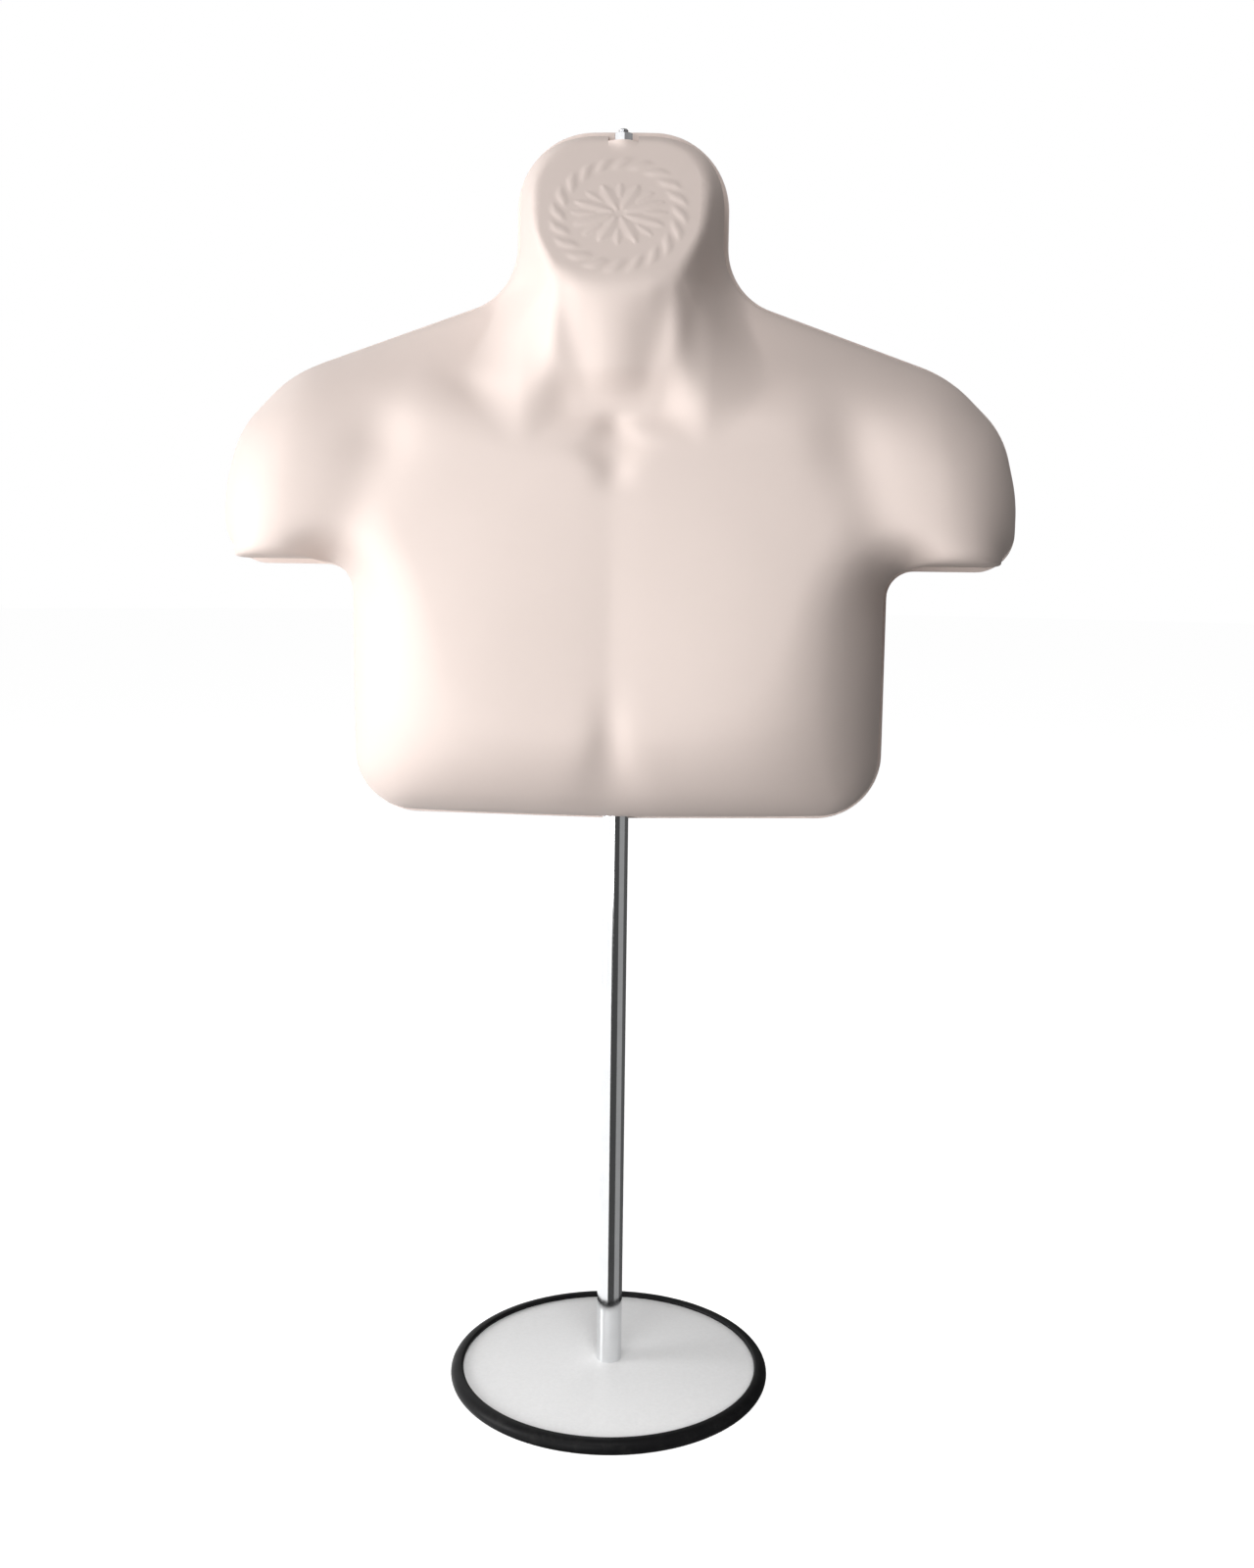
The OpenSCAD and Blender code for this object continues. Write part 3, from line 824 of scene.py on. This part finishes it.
def make_room():
    """A ring of light and dark walls that only reflections see."""
    radius, low, high, steps = 6.0, -6.0, 8.0, 4
    bm = bmesh.new()
    mesh = bpy.data.meshes.new("room")
    bounds = [a for a, _ in ROOM] + [ROOM[0][0] + 360]
    for i, (start, glow) in enumerate(ROOM):
        mesh.materials.append(stage_material("room_%d" % i, glow, (1, 1, 1), 0.0))
        for k in range(steps):
            a, b = (math.radians(start + (bounds[i + 1] - start) * (k + d) / steps) for d in (0, 1))
            face = bm.faces.new([bm.verts.new((radius * math.sin(t), -radius * math.cos(t), z))
                                 for t, z in ((a, low), (a, high), (b, high), (b, low))])
            face.material_index = i
    bm.to_mesh(mesh)
    bm.free()
    room = bpy.data.objects.new("room", mesh)
    SCENE.collection.objects.link(room)
    room.visible_camera = room.visible_diffuse = room.visible_shadow = False
    room.visible_transmission = False


def make_backdrop():
    mesh = bpy.data.meshes.new("backdrop")
    bm = bmesh.new()
    bmesh.ops.create_uvsphere(bm, u_segments=64, v_segments=32, radius=14)
    bmesh.ops.reverse_faces(bm, faces=bm.faces)
    bm.to_mesh(mesh)
    bm.free()
    dome = bpy.data.objects.new("backdrop", mesh)
    SCENE.collection.objects.link(dome)
    mesh.materials.append(stage_material("backdrop_white", 1.0, (1, 1, 1), 0.0))
    dome.visible_diffuse = dome.visible_glossy = dome.visible_shadow = False
    dome.visible_transmission = False
    return dome


def make_world(strength):
    world = bpy.data.worlds.new("studio")
    world.use_nodes = True
    world.node_tree.nodes["Background"].inputs["Color"].default_value = (1, 1, 1, 1)
    world.node_tree.nodes["Background"].inputs["Strength"].default_value = strength
    SCENE.world = world


make_floor()
make_backdrop()
make_room()
make_world(0.18)
CENTRE = (0, 0, 0.52)
area_light("key", (-2.0, -0.5, 0.42), CENTRE, 0.9, 1.2, 34)
area_light("front_fill", (-0.7, -2.3, 0.30), CENTRE, 1.2, 1.0, 12.5)
area_light("top_fill", (-0.2, -1.3, 2.0), CENTRE, 1.0, 1.0, 14)
bounce = area_light("floor_bounce", (-0.5, -0.8, 0.02), (0, 0, 0.42), 1.0, 0.6, 5.2)
rear_fill = area_light("rear_fill", (0.5, 2.2, 0.9), (0, 0, 0.6), 1.2, 1.2, 2.4)
foot_light = area_light("foot_light", (0.16, -0.6, 0.27), (0.03, 0, 0), 0.25, 0.25, 0.25)
rear_fill.data.spread = foot_light.data.spread = math.radians(60)
for lamp in (bounce, rear_fill, foot_light):
    lamp.visible_camera = lamp.visible_glossy = False
SCENE.view_settings.view_transform = "Standard"
